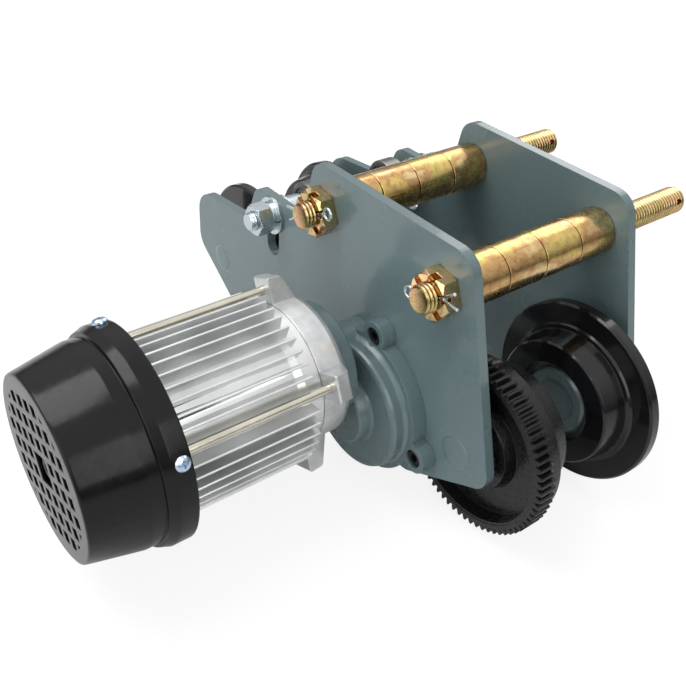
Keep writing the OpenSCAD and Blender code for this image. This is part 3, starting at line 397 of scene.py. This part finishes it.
# ---------------------------------------------------------------- suspension bolts with real threads
for k, x in BOLT_X.items():
    parts = [(BOLT_NEAR_END, -BOLT_BARE, BOLT_R, True), (-BOLT_BARE, BOLT_BARE, BOLT_R - 0.1, False),
             (BOLT_BARE, BOLT_FAR_END, BOLT_R + 0.3, True)]
    o = threaded("threaded_bolt_" + k, x, BOLT_Z, parts, M["bolt"], "frame",
                 steps=48, pitch=2.4, depth=1.2, c0=1.4, c1=2.6)
    bore(o, (x, BOLT_FAR_END - 7.0, BOLT_Z), 20.0, COTTER_R)
    bore(o, (x, BOLT_NEAR_END + 8.5, BOLT_Z), 22.0, COTTER_R)
    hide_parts("suspension_bolt_" + k)

# ---------------------------------------------------------------- roller studs with threaded ends
for k, sd in (("near", -1), ("far", 1)):
    body = "carrier_" + k
    o = lathe("roller_sleeve_" + k, ROLLER_X, ROLLER_Z,
              [(r, sd * y) for r, y in [(0, 23.6), (6.8, 23.6), (7.6, 24.2), (7.6, 25.8), (STUD_R, 25.8),
                                        (STUD_R, 38.2), (8.6, 38.2), (9.0, 38.7), (9.0, 53.0), (10.4, 53.0),
                                        (11.0, 53.6), (11.0, 55.9), (STUD_R, 55.9), (5.9, PLATE_OUT),
                                        (0, PLATE_OUT)]],
              M["bright"], body)
    y0, y1 = sorted((sd * (PLATE_OUT - 1.0), sd * (PLATE_OUT + 19.0)))
    threaded("roller_thread_" + k, ROLLER_X, ROLLER_Z, [(y0, y1, STUD_R, True)], M["bright"], body,
             steps=40, pitch=1.75, depth=0.85,
             c0=0.0 if sd > 0 else 1.0, c1=1.0 if sd > 0 else 0.0)
    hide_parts("roller_stud_" + k)

# ---------------------------------------------------------------- painted ends of the riveted axles
for k, x, sd in (("geared", WHEEL_X, -1), ("near", -WHEEL_X, -1), ("far_right", WHEEL_X, 1),
                 ("far_left", -WHEEL_X, 1)):
    lathe("axle_end_" + k, x, 0.0,
          [(r, sd * (PLATE_OUT + h)) for r, h in [(0, 0.42), (4, 0.40), (8.2, 0.30), (9.4, 0.12),
                                                  (10.1, -0.35), (10.8, -0.05), (11.4, 0.06), (11.8, -0.1)]],
          M["enamel"], "frame")

# ---------------------------------------------------------------- floor, lights, camera
bpy.ops.mesh.primitive_plane_add(size=8.0, location=(0, 0, FLOOR_Z * MM))
floor = bpy.context.object
floor.name = "floor"
m, t, b = tree("floor_paper")
b.inputs["Roughness"].default_value = 0.9
b.inputs["Specular IOR Level"].default_value = 0.1
lp = t.nodes.new("ShaderNodeLightPath")
em = t.nodes.new("ShaderNodeEmission")
em.inputs["Color"].default_value = (1, 1, 1, 1)
add = t.nodes.new("ShaderNodeAddShader")
out = [n for n in t.nodes if n.type == "OUTPUT_MATERIAL"][0]
alb = t.nodes.new("ShaderNodeMapRange")
alb.inputs["To Min"].default_value = FLOOR_ALBEDO
alb.inputs["To Max"].default_value = SHADOW_ALBEDO
t.links.new(lp.outputs["Is Camera Ray"], alb.inputs["Value"])
t.links.new(alb.outputs["Result"], b.inputs["Base Color"])
mul = t.nodes.new("ShaderNodeMath")
mul.operation = "MULTIPLY"
geo = t.nodes.new("ShaderNodeNewGeometry")
far = t.nodes.new("ShaderNodeVectorMath")
far.operation = "LENGTH"
t.links.new(geo.outputs["Position"], far.inputs[0])
t.links.new(span(t, far.outputs["Value"], 0.35, 1.1, GLOW_NEAR, GLOW_FAR), mul.inputs[1])
t.links.new(lp.outputs["Is Camera Ray"], mul.inputs[0])
t.links.new(mul.outputs[0], em.inputs["Strength"])
t.links.new(b.outputs[0], add.inputs[0])
t.links.new(em.outputs[0], add.inputs[1])
t.links.new(add.outputs[0], out.inputs[0])
floor.data.materials.append(m)

world = bpy.data.worlds.new("studio")
bpy.context.scene.world = world
world.use_nodes = True
wt = world.node_tree
wt.nodes.clear()
wo = wt.nodes.new("ShaderNodeOutputWorld")
bg = wt.nodes.new("ShaderNodeBackground")
bg.inputs["Color"].default_value = (1, 1, 1, 1)
lp = wt.nodes.new("ShaderNodeLightPath")
m1 = wt.nodes.new("ShaderNodeMath")
m1.operation = "MAXIMUM"
wt.links.new(lp.outputs["Is Camera Ray"], m1.inputs[0])
wt.links.new(lp.outputs["Is Transmission Ray"], m1.inputs[1])
wc = wt.nodes.new("ShaderNodeTexCoord")
ws = wt.nodes.new("ShaderNodeSeparateXYZ")
wt.links.new(wc.outputs["Generated"], ws.inputs[0])
# reflections see a room that darkens towards the horizon
sky = wt.nodes.new("ShaderNodeMapRange")
sky.inputs["From Min"].default_value = -0.05
sky.inputs["From Max"].default_value = 0.75
sky.inputs["To Min"].default_value = HORIZON
sky.inputs["To Max"].default_value = OVERHEAD
wt.links.new(ws.outputs["Z"], sky.inputs["Value"])
gl = wt.nodes.new("ShaderNodeMapRange")
gl.inputs["To Min"].default_value = AMBIENT
wt.links.new(lp.outputs["Is Glossy Ray"], gl.inputs["Value"])
wt.links.new(sky.outputs["Result"], gl.inputs["To Max"])
cm = wt.nodes.new("ShaderNodeMapRange")
cm.inputs["To Max"].default_value = 1.0
wt.links.new(m1.outputs[0], cm.inputs["Value"])
wt.links.new(gl.outputs["Result"], cm.inputs["To Min"])
wt.links.new(cm.outputs["Result"], bg.inputs["Strength"])
wt.links.new(bg.outputs[0], wo.inputs[0])


def area(name, loc, target, size, power):
    d = bpy.data.lights.new(name, "AREA")
    d.energy = power
    d.size = size
    o = bpy.data.objects.new(name, d)
    bpy.context.scene.collection.objects.link(o)
    o.location = loc
    o.rotation_euler = (Vector(target) - Vector(loc)).to_track_quat("-Z", "Y").to_euler()


area("key", (-0.35, -0.55, 1.25), (0.0, -0.05, 0.0), 0.9, 11.0)
area("front", (0.35, -1.3, 0.55), (0.0, 0.0, 0.0), 0.8, 5.0)
area("side", (1.25, -0.15, 0.65), (0.0, 0.0, 0.0), 0.8, 4.0)
area("back", (-0.5, 1.1, 0.8), (0.0, 0.0, 0.05), 0.8, 4.5)

cam_data = bpy.data.cameras.new("camera")
cam = bpy.data.objects.new("camera", cam_data)
bpy.context.scene.collection.objects.link(cam)
az, el, roll = (math.radians(a) for a in (CAMERA_AZ, CAMERA_EL, CAMERA_ROLL))
fw = Vector((-math.sin(az) * math.cos(el), math.cos(az) * math.cos(el), -math.sin(el)))
right = Vector((math.cos(az), math.sin(az), 0))
up = right.cross(fw)
r2 = right * math.cos(roll) + up * math.sin(roll)
u2 = -right * math.sin(roll) + up * math.cos(roll)
mat = Matrix((r2, u2, -fw)).transposed().to_4x4()
mat.translation = Vector(CAMERA_AT)
cam.matrix_world = mat
cam_data.sensor_width = 36.0
cam_data.lens = LENS
cam_data.clip_start = 0.01
cam_data.clip_end = 20.0
bpy.context.scene.camera = cam
bpy.context.scene.view_settings.view_transform = "Standard"
